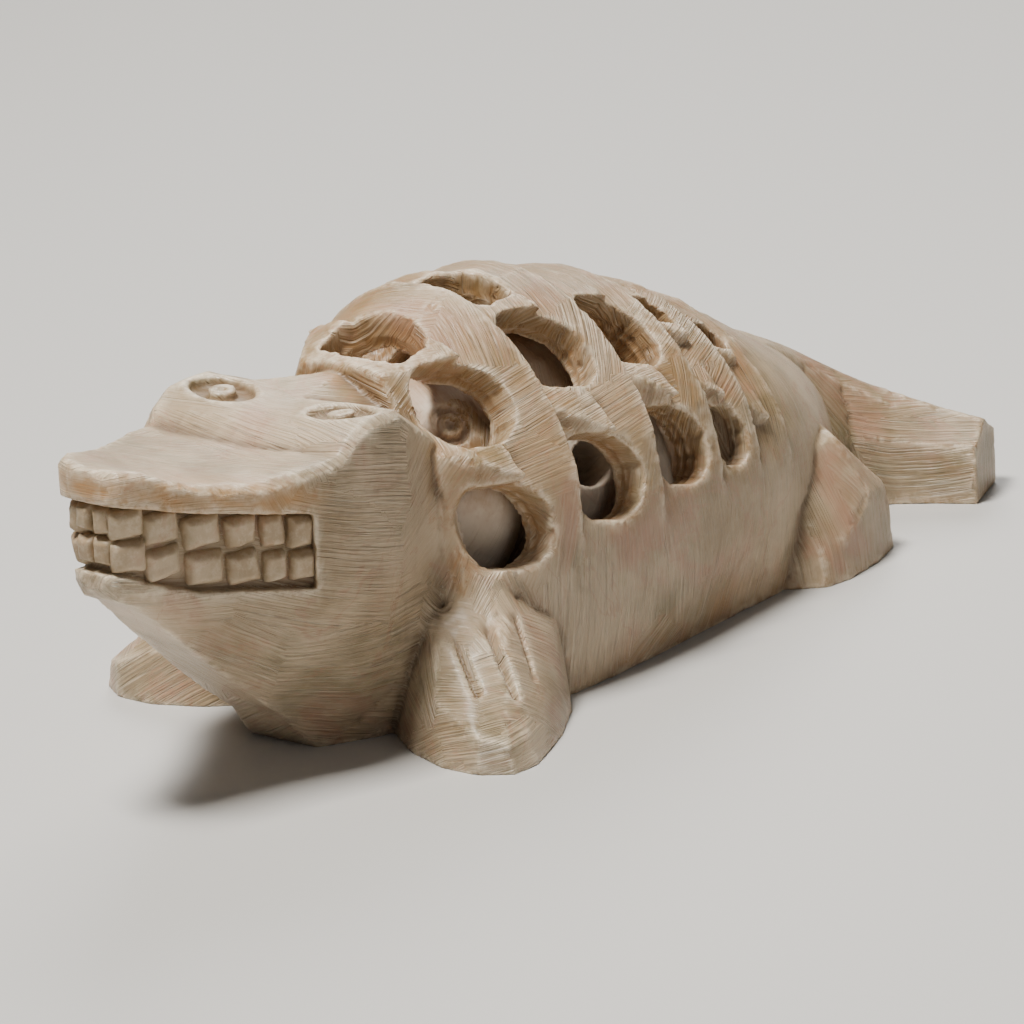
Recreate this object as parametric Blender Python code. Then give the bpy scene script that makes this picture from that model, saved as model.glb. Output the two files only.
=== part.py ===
"""Crocodile carved from one block of soapstone, with a pierced shell of overlapping rings of scales.

Run with:  blender --background --python part.py
Units are metres in the file; the constants below are in millimetres.
The head points to -Y, the tail to +Y and the flat underside stands on Z = 0.
"""
import math

import bmesh
import bpy
from mathutils import Matrix, Vector

# Overall length, in millimetres. The form is drawn at the drawn length and follows this one.
LENGTH = 156.1
DRAWN_LENGTH = 156.1
SCALE = LENGTH / DRAWN_LENGTH
MM = 0.001 * SCALE

# Overall place: the carving is drawn from the forefeet and then centred on its own footprint.
Y_SHIFT = -44.07

# The solids run this far below the ground before the flat underside is cut.
SUNK = 2.0

# How far the cutters of the small grooves stand out of the stone.
CUTTER_REACH = 3.0

# Shell. Stations along the back: y, half width at the widest line, height of the crown.
WIDE_Z = 12.0
BACK_STATIONS = (
    (6.0, 17.6, 43.0), (12.5, 18.8, 43.9), (22.0, 21.5, 46.9), (32.0, 23.5, 48.7),
    (45.0, 24.5, 47.3), (58.0, 24.2, 43.5), (73.0, 23.2, 37.0), (84.0, 20.5, 30.9),
    (92.0, 16.5, 26.4), (98.0, 12.0, 22.8),
)
BASE_STATIONS = ((6.0, 10.0), (14.0, 17.5), (27.0, 21.4), (60.0, 21.8), (80.0, 20.5), (98.0, 9.0))

# Rings of the shell: y of each ring's rear edge, starting with the front rim.
RING_EDGES = (12.0, 29.0, 44.0, 57.2, 66.0, 73.2)
# Angles from the crown at which a scale ends over the next lower one, for each ring.
SCALE_ENDS = ((35.0, 64.0), (34.5, 62.0), (35.0, 57.5), (40.5, 58.5), (47.0, 65.5))
SHELL_FOOT_ANGLE = 82.0
COLUMN_SHARES = (0.0, 0.33, 0.6, 0.82, 1.0)
STEP_RUN = 0.3
# Lifts and falls for a ring as long as REFERENCE_RING; shorter rings have them in proportion.
REFERENCE_RING = 17.0
# Rise of a ring's rear edge over the plain back, and fall of the next ring's front below it,
# at the crown and at the sides.
CROWN_LIFT = 1.0
SIDE_LIFT = 2.3
CROWN_SINK = 0.5
SIDE_SINK = 1.6
# Scales: lift of the lower end over the plain back at the ring's front and at the tip,
# and fall of the next scale's upper end below the plain back at the same two places.
END_LIFT = (0.6, 2.7)
END_SINK = (2.2, 0.8)
# Length down the arc of the sloping end, at the front and at the tip.
END_SLOPE = (5.4, 0.9)
# Share of the ring's length that a scale covers at its upper end, and what its tip adds.
SCALE_REACH = 0.44
TIP_REACH = 0.08

# Hollow and its wall. The wall keeps its own thickness whatever the overall length is.
WALL_THICKNESS = 3.9
WALL = WALL_THICKNESS / SCALE
HOLLOW_FRONT = 15.2
HOLLOW_REAR = 57.0
FLOOR_Z = 7.0

# Openings: ring, angle of the middle, length along the back, half height on the arc, drop of the
# rounded rear end against the straight front, right through or not. An opening starts close
# behind the rear edge of the ring in front of it.
OPENINGS = (
    (0, 3.0, 8.2, 6.8, 0.4, True),
    (0, 40.0, 10.4, 5.8, 1.6, True),
    (0, 70.2, 10.4, 5.4, 1.2, True),
    (1, 7.0, 8.2, 5.8, 0.6, True),
    (1, 37.4, 10.8, 5.6, 2.0, True),
    (1, 68.0, 11.0, 5.6, 1.4, True),
    (2, 36.4, 9.6, 5.2, 2.0, True),
    (2, 66.2, 10.2, 5.2, 1.4, True),
    (3, 28.5, 5.2, 2.8, 1.0, False),
    (3, 67.0, 6.2, 4.2, 1.0, False),
    (4, 37.0, 4.2, 2.4, 0.8, False),
)
FRONT_RIM = 1.8
SETBACK = 0.35
CROWN_OPENING_HALF_ANGLE = 10.0
POCKET_DEPTH = 3.4
OPENING_EXTRA = 2.2
# How far a cutter stands out of the back, beyond every lift.
OPENING_REACH = 5.0

# Head. Stations from snout to neck: y, half width, middle, left rim, lip, jaw, keel half width,
# keel height, right rim.
HEAD_STATIONS = (
    (-34.0, 2.4, 43.2, 42.6, 39.0, 31.4, 1.6, 28.8, 43.0),
    (-33.0, 4.4, 43.2, 43.3, 38.9, 31.0, 2.6, 27.4, 43.8),
    (-30.6, 5.8, 42.6, 42.8, 38.2, 29.8, 3.2, 26.2, 43.6),
    (-24.0, 7.8, 40.4, 39.6, 36.0, 27.0, 3.9, 19.8, 42.0),
    (-17.0, 11.4, 38.8, 38.2, 34.4, 25.8, 4.3, 13.4, 40.4),
    (-11.0, 14.8, 38.2, 38.8, 33.2, 24.6, 4.5, 8.0, 39.4),
    (-6.6, 15.8, 38.4, 39.2, 32.4, 23.8, 4.6, 4.6, 38.8),
    (-4.2, 16.0, 40.0, 41.2, 32.0, 23.0, 4.8, 1.2, 41.0),
    (-1.6, 16.2, 40.8, 42.2, 32.0, 22.0, 5.4, 0.0, 42.4),
    (4.6, 15.6, 41.2, 41.9, 32.0, 20.0, 9.4, 0.0, 42.6),
    (13.4, 13.4, 42.4, 36.0, 29.0, 20.0, 16.5, 0.0, 38.2),
)
MOUTH_DEPTH = 1.7
MOUTH_END_Y = -11.4
LIP_OVERHANG = 0.5
LOWER_JAW_INSET = 0.4
# Height of the top of the head, three fifths of the way out, between its middle and its rim.
TOP_FULLNESS = 0.7
LOWER_LIP_CUT = 0.5

# Teeth: widths from the middle of the snout to the corner of the mouth, on each side.
TOOTH_WIDTHS = (2.9, 4.6, 5.2, 5.2, 4.4, 3.3, 3.5)
TOOTH_GAP = 0.6
TOOTH_PROUD = 1.3
TOOTH_CHAMFER = 0.6
# Distance on either side of a point over which the direction of the lip line is read.
CORNER_EASE = 1.6
# Each row of teeth as shares of the height of the mouth.
TOOTH_ROWS = ((0.07, 0.48), (0.55, 0.95))

# Eyes: middle of the almond, half length across and half width, and depth of its groove.
EYE_PLACE = (9.2, 1.2)
EYE_TILT = 4.0
EYE_HALF = (5.2, 3.3)
EYE_DEPTH = 0.9
# Ring of the eye: radius, radius of its pit at the top and at the bottom, depth of the pit,
# and how far the top of the ring stays below the brow.
EYE_RING = (1.7, 0.75, 0.52, 0.5)
EYE_RING_BELOW = 0.15

# Feet: ground outline and upper edge of the left forefoot and the left hind foot.
FORE_GROUND = (
    (10.0, 5.6), (16.5, 1.0), (23.0, -1.4), (28.5, -1.2), (32.2, 1.2), (32.7, 5.0),
    (29.2, 14.5), (25.2, 21.6), (20.5, 27.5), (10.0, 24.0),
)
FORE_UPPER = (
    (13.0, 6.0, 9.0), (21.0, 1.0, 7.2), (28.5, -0.8, 4.4), (31.4, 1.2, 3.6), (31.6, 5.0, 3.8),
    (28.6, 12.6, 4.8), (25.0, 19.8, 6.4), (21.0, 25.0, 11.5), (15.0, 9.0, 15.5), (18.5, 17.0, 18.5),
)
HIND_GROUND = (
    (12.0, 70.0), (21.5, 70.6), (26.6, 74.6), (27.4, 78.6), (26.8, 86.0), (25.0, 92.4), (9.0, 93.6),
)
HIND_UPPER = (
    (20.5, 70.8, 4.0), (26.0, 74.8, 3.4), (26.6, 79.0, 5.4), (26.0, 86.0, 9.4), (24.4, 92.0, 8.6),
    (21.5, 85.0, 16.6), (19.5, 76.0, 16.0), (11.0, 92.6, 12.6), (13.6, 86.4, 20.4),
)
TOE_GROOVES = (
    ((17.6, 8.6, 12.6), (24.4, 4.2, 7.4)),
    ((20.0, 11.8, 12.6), (27.2, 7.6, 6.4)),
    ((21.6, 16.0, 12.2), (28.0, 12.0, 6.2)),
)
GROOVE_WIDTH = 1.0
GROOVE_DEPTH = 0.9

# Tail: centre line on the ground, half width, height of the side wall, height of the ridge.
TAIL_STATIONS = (
    (0.0, 84.0, 15.0, 17.0, 29.2),
    (0.2, 93.0, 12.2, 15.0, 26.6),
    (1.8, 101.5, 9.4, 12.0, 22.4),
    (5.8, 108.0, 7.4, 10.0, 17.6),
    (11.4, 112.6, 6.3, 8.8, 14.0),
    (17.4, 115.2, 5.6, 8.2, 11.8),
    (23.4, 117.2, 5.0, 7.7, 10.4),
)

# Small animal inside.
INNER_HEAD = ((0.0, 24.6, 24.0), (15.0, 11.6, 15.6))
INNER_BODY = ((0.0, 42.8, 22.0), (17.2, 13.6, 17.2))
INNER_NECK = ((0.0, 33.4, 19.0), (14.2, 8.4, 15.6))
INNER_EYE_HALF = (3.1, 2.5)
INNER_EYE_ANGLE = 43.0
INNER_EYE_Y = 20.9
INNER_HOLE = (40.4, 65.0, 3.2, 9.0)

STONE_COLOUR = (0.56, 0.47, 0.36)


def clear_scene():
    for item in list(bpy.data.objects):
        bpy.data.objects.remove(item, do_unlink=True)


def smooth_between(table, value, column):
    """Read a column of a station table at a value, with a smooth curve through the stations."""
    rows = table
    if value <= rows[0][0]:
        return rows[0][column]
    if value >= rows[-1][0]:
        return rows[-1][column]
    k = 0
    while rows[k + 1][0] < value:
        k += 1
    x0 = rows[k][0]
    x1 = rows[k + 1][0]
    y0 = rows[k][column]
    y1 = rows[k + 1][column]
    step = x1 - x0
    slope = (y1 - y0) / step
    before = slope
    after = slope
    if k > 0:
        before = (y1 - rows[k - 1][column]) / (x1 - rows[k - 1][0])
    if k + 2 < len(rows):
        after = (rows[k + 2][column] - y0) / (rows[k + 2][0] - x0)
    t = (value - x0) / step
    h00 = 2 * t ** 3 - 3 * t ** 2 + 1
    h10 = t ** 3 - 2 * t ** 2 + t
    h01 = -2 * t ** 3 + 3 * t ** 2
    h11 = t ** 3 - t ** 2
    return h00 * y0 + h10 * step * before + h01 * y1 + h11 * step * after


def half_width(y):
    return smooth_between(BACK_STATIONS, y, 1)


def crown(y):
    return smooth_between(BACK_STATIONS, y, 2)


def base_width(y):
    return smooth_between(BASE_STATIONS, y, 1)


def back_point(y, angle, lift=0.0):
    """Point of the back at a station and an angle from the crown, lifted off it."""
    a = math.radians(angle)
    x = (half_width(y) + lift) * math.sin(a)
    z = WIDE_Z + (crown(y) - WIDE_Z + lift) * math.cos(a)
    return Vector((x, y, z))


def back_frame(y, angle):
    """Point of the back, outward direction across the body and direction down the arc, for a cutter."""
    point = back_point(y, angle)
    down = (back_point(y, angle + 1.0) - back_point(y, angle - 1.0)).normalized()
    along = Vector((0.0, 1.0, 0.0))
    outward = along.cross(down)
    if outward.dot(point - Vector((0.0, y, WIDE_Z))) < 0:
        outward = -outward
    return point, outward.normalized(), along, outward.cross(along) * -1.0


def shifted(point):
    return (point[0] * MM, (point[1] + Y_SHIFT) * MM, point[2] * MM)


def make_object(name, verts, faces):
    mesh = bpy.data.meshes.new(name)
    mesh.from_pydata([shifted(v) for v in verts], [], faces)
    mesh.update()
    obj = bpy.data.objects.new(name, mesh)
    bpy.context.scene.collection.objects.link(obj)
    work = bmesh.new()
    work.from_mesh(mesh)
    bmesh.ops.remove_doubles(work, verts=work.verts, dist=0.00001)
    bmesh.ops.recalc_face_normals(work, faces=work.faces)
    work.to_mesh(mesh)
    work.free()
    return obj


def loft(name, sections):
    """Closed solid through sections that have the same number of points."""
    count = len(sections[0])
    verts = [p for section in sections for p in section]
    faces = []
    for k in range(len(sections) - 1):
        for j in range(count):
            a = k * count + j
            b = k * count + (j + 1) % count
            faces.append((a, b, b + count, a + count))
    faces.append(tuple(range(count - 1, -1, -1)))
    last = (len(sections) - 1) * count
    faces.append(tuple(range(last, last + count)))
    return make_object(name, verts, faces)


def hull(name, points):
    mesh = bpy.data.meshes.new(name)
    work = bmesh.new()
    for p in points:
        work.verts.new(shifted(p))
    result = bmesh.ops.convex_hull(work, input=work.verts)
    inner = [g for g in result["geom_interior"] if isinstance(g, bmesh.types.BMVert)]
    if inner:
        bmesh.ops.delete(work, geom=inner, context="VERTS")
    bmesh.ops.recalc_face_normals(work, faces=work.faces)
    work.to_mesh(mesh)
    work.free()
    obj = bpy.data.objects.new(name, mesh)
    bpy.context.scene.collection.objects.link(obj)
    return obj


def ellipsoid(name, centre, radii, segments=20, rings=12):
    mesh = bpy.data.meshes.new(name)
    work = bmesh.new()
    place = Matrix.Translation(Vector(shifted(centre)))
    size = Matrix.Diagonal((radii[0] * MM, radii[1] * MM, radii[2] * MM, 1.0))
    bmesh.ops.create_uvsphere(work, u_segments=segments, v_segments=rings, radius=1.0, matrix=place @ size)
    work.to_mesh(mesh)
    work.free()
    obj = bpy.data.objects.new(name, mesh)
    bpy.context.scene.collection.objects.link(obj)
    return obj


def combine(target, name, others, operation):
    """Join a group of solids to the target, or take them away from it, in one step."""
    group = bpy.data.collections.new(name)
    bpy.context.scene.collection.children.link(group)
    for other in others:
        bpy.context.scene.collection.objects.unlink(other)
        group.objects.link(other)
        other.hide_render = True
        other.display_type = "WIRE"
    mod = target.modifiers.new(name, "BOOLEAN")
    mod.operation = operation
    mod.solver = "EXACT"
    mod.operand_type = "COLLECTION"
    mod.collection = group


def shell_columns(ring, slope):
    """Angles of the mesh columns on the left half; each scale has five, with its sloping end last."""
    ends = SCALE_ENDS[ring]
    lean = math.degrees(slope / half_width(RING_EDGES[ring]))
    spans = ((0.0, ends[0] - lean), (ends[0], ends[1] - lean), (ends[1], SHELL_FOOT_ANGLE))
    return [low + (high - low) * share for low, high in spans for share in COLUMN_SHARES]


def shell_row(ring, t_band, in_scale, t_scale):
    """One row of points over the back, from the left flank over the crown to the right flank."""
    front = RING_EDGES[ring] + STEP_RUN
    length = RING_EDGES[ring + 1] - front
    size = min(1.0, length / REFERENCE_RING)
    forward = t_scale if in_scale else 1.0
    angles = shell_columns(ring, size * (END_SLOPE[0] + (END_SLOPE[1] - END_SLOPE[0]) * forward))
    last = len(angles) - 1
    halves = []
    for side in (1.0, -1.0):
        half = []
        for n, angle in enumerate(angles):
            part = n // len(COLUMN_SHARES)
            s = COLUMN_SHARES[n % len(COLUMN_SHARES)]
            reach = SCALE_REACH + TIP_REACH * s
            if in_scale:
                t = reach * t_scale
            else:
                t = reach + 0.03 + (1.0 - reach - 0.03) * t_band
            side_share = min(1.0, angle / 55.0)
            rise = CROWN_LIFT + (SIDE_LIFT - CROWN_LIFT) * side_share
            sink = CROWN_SINK + (SIDE_SINK - CROWN_SINK) * side_share
            lift = -sink + (rise + sink) * t ** 1.3
            if in_scale:
                high = END_LIFT[0] + (END_LIFT[1] - END_LIFT[0]) * t_scale
                low = -END_SINK[0] + (END_SINK[0] - END_SINK[1]) * t_scale
                if part == 0:
                    low = lift
                if part == 2:
                    high = 0.0
                lift = low + (high - low) * s ** 1.3
            if part == 2:
                lift *= 1.0 - s
            if n == last:
                lift = 0.0
            half.append(back_point(front + length * t, angle * side, lift * size))
        halves.append(half)
    return list(reversed(halves[0])) + halves[1][1:]


def flank_points(y, side):
    """Points of the flank below the shell, from the shell down to the ground."""
    foot = back_point(y, SHELL_FOOT_ANGLE * side)
    wide = back_point(y, 90.0 * side)
    base = base_width(y) * side
    low = Vector((base + (wide.x - base) * 0.62, y, WIDE_Z * 0.42))
    return [foot, wide, low, Vector((base, y, -SUNK))]


def body_sections():
    sections = []

    def close(row):
        y_left = row[0].y
        y_right = row[-1].y
        left = flank_points(y_left, 1.0)
        right = flank_points(y_right, -1.0)
        section = [left[3], left[2], left[1]] + row + [right[1], right[2], right[3]]
        sections.append([tuple(p) for p in section])

    for ring in range(len(RING_EDGES) - 1):
        for t_scale in (0.0, 0.5, 1.0):
            close(shell_row(ring, 0.0, True, t_scale))
        for t_band in (0.0, 0.5, 1.0):
            close(shell_row(ring, t_band, False, 0.0))
    last = len(SCALE_ENDS) - 1
    angles = shell_columns(last, 0.0)
    for y in (RING_EDGES[-1] + STEP_RUN, 79.0, 85.0, 91.0, 97.0):
        row = [back_point(y, a, -0.4 if y < 74.0 and a < 70.0 else 0.0) for a in reversed(angles)]
        row += [back_point(y, -a, -0.4 if y < 74.0 and a < 70.0 else 0.0) for a in angles[1:]]
        close(row)
    return sections


def opening_cutter(name, ring, angle, length, half_down, drop, through, side):
    """Cutter that is straight against the ring in front and round behind."""
    front = RING_EDGES[ring] + STEP_RUN + (FRONT_RIM if ring == 0 else SETBACK)
    half_along = length * 0.5
    point, outward, along, down = back_frame(front + half_along, angle * side)
    count = 16
    outer = []
    inner = []
    depth = WALL + OPENING_EXTRA if through else POCKET_DEPTH
    for k in range(count):
        a = 2.0 * math.pi * (k + 0.5) / count
        c = math.cos(a)
        squareness = 0.9 if c > 0.0 else 0.35
        u = half_along * math.copysign(abs(c) ** squareness, c)
        v = half_down * math.copysign(abs(math.sin(a)) ** 0.9, math.sin(a))
        v += drop * side * u / half_along
        flare = 1.12 if c > 0.0 else 1.0
        outer.append(point + along * u * flare + down * v * 1.10 + outward * OPENING_REACH)
        inner.append(point + along * u * 0.92 + down * v * 0.90 - outward * depth)
    return loft(name, [[tuple(p) for p in inner], [tuple(p) for p in outer]])


def opening_cutters():
    cutters = []
    for k, (ring, angle, length, half_down, drop, through) in enumerate(OPENINGS):
        sides = (1.0,) if angle < CROWN_OPENING_HALF_ANGLE else (1.0, -1.0)
        for side in sides:
            name = "opening_%d_%s" % (k + 1, "left" if side > 0.0 else "right")
            cutters.append(opening_cutter(name, ring, angle, length, half_down, drop, through, side))
    return cutters


def hollow_cutter():
    sections = []
    steps = 9
    for k in range(steps + 1):
        t = k / steps
        y = HOLLOW_FRONT + (HOLLOW_REAR - HOLLOW_FRONT) * (0.5 - 0.5 * math.cos(math.pi * t))
        shrink = math.sqrt(max(0.0, 1.0 - abs(2.0 * t - 1.0) ** 6))
        shrink = max(shrink, 0.72)
        wide = (half_width(y) - WALL) * shrink
        high = (crown(y) - WALL - WIDE_Z) * shrink
        section = [(wide * 0.86, y, FLOOR_Z)]
        for n in range(13):
            a = math.radians(90.0 - 15.0 * n)
            section.append((wide * math.sin(a), y, WIDE_Z + high * math.cos(a)))
        section.append((-wide * 0.86, y, FLOOR_Z))
        sections.append(section)
    return loft("hollow", sections)


def head_section(row):
    y, wide, middle, left_rim, lip, jaw, keel_wide, keel, right_rim = row
    grow = LIP_OVERHANG if y < MOUTH_END_Y else 0.0
    bottom = keel if keel > 0.0 else -0.8 * SUNK
    chin = jaw - bottom
    side_low = keel_wide + (wide - keel_wide) * 0.64
    sides = []
    for rim in (left_rim, right_rim):
        sides.append([
            (wide * 0.60, middle + (rim - middle) * TOP_FULLNESS),
            (wide * 0.93, rim),
            (wide + grow, rim - 0.9),
            (wide + grow, lip),
            (wide - LOWER_JAW_INSET, jaw),
            (wide - LOWER_JAW_INSET - 0.4, jaw - min(2.2, chin * 0.35)),
            (side_low, bottom + chin * 0.46),
            (keel_wide, bottom),
        ])
    points = [(0.0, y, middle)]
    points += [(x, y, z) for x, z in sides[0]]
    points += [(-x, y, z) for x, z in reversed(sides[1])]
    return points


def head_solid():
    return loft("head", [head_section(row) for row in HEAD_STATIONS])


def mouth_line():
    """Plan of the mouth from the middle of the snout to its corner, along the head's side."""
    line = [(0.0, HEAD_STATIONS[0][0] - 0.3)]
    for row in HEAD_STATIONS:
        if row[0] < MOUTH_END_Y:
            line.append((row[1], row[0]))
    line.append((smooth_between(HEAD_STATIONS, MOUTH_END_Y, 1), MOUTH_END_Y))
    return line


def mouth_place(distance):
    """Point on the lip line at a distance from the middle of the snout; negative on the other side."""
    line = [Vector(p) for p in mouth_line()]
    left = abs(distance)
    mirror = -1.0 if distance < 0.0 else 1.0
    for k in range(len(line) - 1):
        run = line[k + 1] - line[k]
        if left <= run.length or k == len(line) - 2:
            p = line[k] + run.normalized() * left
            return Vector((p.x * mirror, p.y))
        left -= run.length


def mouth_point(distance):
    """Point on the lip line and the outward direction there, eased round the corners of the snout."""
    d = (mouth_place(distance + CORNER_EASE) - mouth_place(distance - CORNER_EASE)).normalized()
    return mouth_place(distance), Vector((d.y, -d.x))


def mouth_cutter():
    """Band sunk round the snout for the teeth."""
    line = [Vector(p) for p in mouth_line()]
    half = []
    for k, p in enumerate(line):
        before = line[max(0, k - 1)]
        after = line[min(len(line) - 1, k + 1)]
        d = (after - before).normalized()
        if k == 0:
            d = Vector((1.0, 0.0))
        out = Vector((d.y, -d.x))
        z0 = smooth_between(HEAD_STATIONS, p.y, 5) - LOWER_LIP_CUT
        z1 = smooth_between(HEAD_STATIONS, p.y, 4)
        inner = p - out * MOUTH_DEPTH
        outer = p + out * CUTTER_REACH
        half.append([(inner.x, inner.y, z0), (outer.x, outer.y, z0 - 0.3), (outer.x, outer.y, z1 + 0.3),
                     (inner.x, inner.y, z1)])
    mirrored = [[(-x, y, z) for x, y, z in section] for section in reversed(half[1:])]
    return loft("mouth", mirrored + half)


def teeth_object():
    verts = []
    faces = []
    for side in (1.0, -1.0):
        start = TOOTH_GAP * 0.5
        for width in TOOTH_WIDTHS:
            stop = start + width - TOOTH_GAP
            p0, out0 = mouth_point(start)
            p1, out1 = mouth_point(stop)
            d = (p1 - p0).normalized()
            for low, high in TOOTH_ROWS:
                base = len(verts)
                front = MOUTH_DEPTH - TOOTH_PROUD
                for depth, inset in ((MOUTH_DEPTH + 0.5, 0.0), (front + TOOTH_CHAMFER, 0.0),
                                     (front, TOOTH_CHAMFER)):
                    for p, out, turn in ((p0, out0, 1.0), (p1, out1, -1.0)):
                        q = p - out * depth + d * inset * turn
                        z0 = smooth_between(HEAD_STATIONS, p.y, 5)
                        z1 = smooth_between(HEAD_STATIONS, p.y, 4)
                        verts.append((q.x * side, q.y, z0 + (z1 - z0) * low + inset))
                        verts.append((q.x * side, q.y, z0 + (z1 - z0) * high - inset))
                for level in (0, 4):
                    a = base + level
                    faces.append((a, a + 1, a + 5, a + 4))
                    faces.append((a + 1, a + 3, a + 7, a + 5))
                    faces.append((a + 3, a + 2, a + 6, a + 7))
                    faces.append((a + 2, a, a + 4, a + 6))
                faces.append((base, base + 2, base + 3, base + 1))
                faces.append((base + 8, base + 9, base + 11, base + 10))
            start = stop + TOOTH_GAP
    return make_object("teeth", verts, faces)


def eye_groove(name, place, outward, across, half, count=12):
    """Almond pocket of an eye, square to its surface."""
    along = outward.cross(across).normalized()
    outline = []
    for k in range(count):
        a = 2.0 * math.pi * k / count
        u = half[0] * math.cos(a)
        v = half[1] * math.copysign(abs(math.sin(a)) ** 1.25, math.sin(a))
        outline.append(across * u + along * v)
    low = [tuple(place + p * 0.9 - outward * EYE_DEPTH) for p in outline]
    high = [tuple(place + p * 1.15 + outward * CUTTER_REACH) for p in outline]
    return loft(name, [low, high])


def eye_ring(name, place, outward, across, count=10):
    """Raised ring with a pit in its middle."""
    along = outward.cross(across).normalized()
    outer, pit, pit_floor, pit_depth = EYE_RING
    top = -EYE_RING_BELOW
    sections = []
    for radius, height in ((outer, -EYE_DEPTH - SUNK), (outer, top), (pit, top), (pit_floor, top - pit_depth)):
        section = []
        for k in range(count):
            a = 2.0 * math.pi * k / count
            p = place + across * radius * math.cos(a) + along * radius * math.sin(a) + outward * height
            section.append(tuple(p))
        sections.append(section)
    return loft(name, sections)


def tail_solid():
    sections = []
    for k, (x, y, wide, wall, ridge) in enumerate(TAIL_STATIONS):
        before = TAIL_STATIONS[max(0, k - 1)]
        after = TAIL_STATIONS[min(len(TAIL_STATIONS) - 1, k + 1)]
        run = Vector((after[0] - before[0], after[1] - before[1])).normalized()
        out = Vector((run.y, -run.x))
        profile = ((1.0, -1.2 * SUNK), (1.04, wall * 0.45), (0.97, wall), (0.45, ridge - 1.2), (0.08, ridge))
        half = [(out * wide * f, z) for f, z in profile]
        section = [(x + o.x, y + o.y, z) for o, z in half]
        section += [(x - o.x, y - o.y, z) for o, z in reversed(half)]
        sections.append(section)
    return loft("tail", sections)


def foot(name, ground, upper, side):
    points = [(x * side, y, 0.0) for x, y in ground]
    points += [(x * side, y, -0.6 * SUNK) for x, y in ground]
    points += [(x * side, y, z) for x, y, z in upper]
    return hull(name, points)


def groove(name, start, stop, side):
    """V-shaped groove between two toes."""
    a = Vector((start[0] * side, start[1], start[2]))
    b = Vector((stop[0] * side, stop[1], stop[2]))
    run = (b - a).normalized()
    across = run.cross(Vector((0.0, 0.0, 1.0))).normalized()
    up = across.cross(run).normalized()
    if up.z < 0:
        up = -up
    half = GROOVE_WIDTH
    sections = []
    ends = (GROOVE_DEPTH * 0.33, GROOVE_DEPTH * 0.55)
    for p, deep in ((a - run * half, ends[0]), ((a + b) * 0.5, GROOVE_DEPTH), (b + run * half, ends[1])):
        sections.append([tuple(p + across * half + up * CUTTER_REACH),
                         tuple(p - across * half + up * CUTTER_REACH), tuple(p - up * deep)])
    return loft(name, sections)


def ground_cutter():
    """Everything below the flat underside."""
    corners = [(x, y, z) for z in (-4.0 * SUNK, 0.0) for x, y in ((-60, -60), (60, -60), (60, 160), (-60, 160))]
    faces = [(3, 2, 1, 0), (4, 5, 6, 7)]
    faces += [(k, (k + 1) % 4, (k + 1) % 4 + 4, k + 4) for k in range(4)]
    return make_object("ground", corners, faces)


def head_eye(side):
    """Place, outward direction and long direction of an eye on the brow."""
    x, y = EYE_PLACE
    tilt = math.radians(EYE_TILT)
    outward = Vector((-math.sin(tilt) * side, 0.0, math.cos(tilt)))
    across = Vector((math.cos(tilt) * side, 0.0, math.sin(tilt)))
    middle = smooth_between(HEAD_STATIONS, y, 2)
    rim = smooth_between(HEAD_STATIONS, y, 3 if side > 0.0 else 8)
    wide = smooth_between(HEAD_STATIONS, y, 1)
    share = (x - wide * 0.6) / (wide * 0.33)
    z = middle + (rim - middle) * (TOP_FULLNESS + (1.0 - TOP_FULLNESS) * max(0.0, share))
    return Vector((x * side, y, z)), outward, across


def inner_eye(side):
    """Place, outward direction and long direction of an eye of the small animal."""
    centre, radii = INNER_HEAD
    a = math.radians(INNER_EYE_ANGLE)
    v = (INNER_EYE_Y - centre[1]) / radii[1]
    around = math.sqrt(1.0 - v * v)
    place = Vector((radii[0] * around * math.sin(a) * side, INNER_EYE_Y,
                    centre[2] + radii[2] * around * math.cos(a)))
    outward = Vector((place.x / radii[0] ** 2, (place.y - centre[1]) / radii[1] ** 2,
                      (place.z - centre[2]) / radii[2] ** 2)).normalized()
    across = outward.cross(Vector((0.0, 1.0, 0.0))).normalized()
    return place, outward, across


def inner_hole(tag, side):
    """Round hole drilled into the small animal's flank."""
    y, angle, radius, deep = INNER_HOLE
    point, outward, along, down = back_frame(y, angle * side)
    sections = []
    for height in (-2.0 - WALL - deep, -WALL + 1.0):
        section = []
        for k in range(14):
            a = 2.0 * math.pi * k / 14
            p = point + outward * height + along * radius * math.cos(a) + down * radius * math.sin(a)
            section.append(tuple(p))
        sections.append(section)
    return loft("inner_hole_" + tag, sections)


def stone_material():
    mat = bpy.data.materials.new("soapstone")
    mat.use_nodes = True
    shader = mat.node_tree.nodes["Principled BSDF"]
    shader.inputs["Base Color"].default_value = (*STONE_COLOUR, 1.0)
    shader.inputs["Roughness"].default_value = 0.5
    shader.inputs["Metallic"].default_value = 0.0
    mat.diffuse_color = (*STONE_COLOUR, 1.0)
    return mat


def eye_cutter(name, half, place, outward, across):
    """Almond groove that leaves the ring of the eye standing."""
    cutter = eye_groove(name, place, outward, across, half)
    combine(cutter, name + "_ring", [eye_ring(name + "_ring_solid", place, outward, across)], "DIFFERENCE")
    return cutter


def small_animal(both):
    body = ellipsoid("inner_body", *INNER_BODY)
    combine(body, "inner_solids", [ellipsoid("inner_head", *INNER_HEAD, 26, 16),
                                    ellipsoid("inner_neck", *INNER_NECK)], "UNION")
    cuts = [eye_cutter("inner_eye_" + tag, INNER_EYE_HALF, *inner_eye(side)) for side, tag in both]
    cuts += [inner_hole(tag, side) for side, tag in both]
    combine(body, "inner_cuts", cuts, "DIFFERENCE")
    return body


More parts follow.
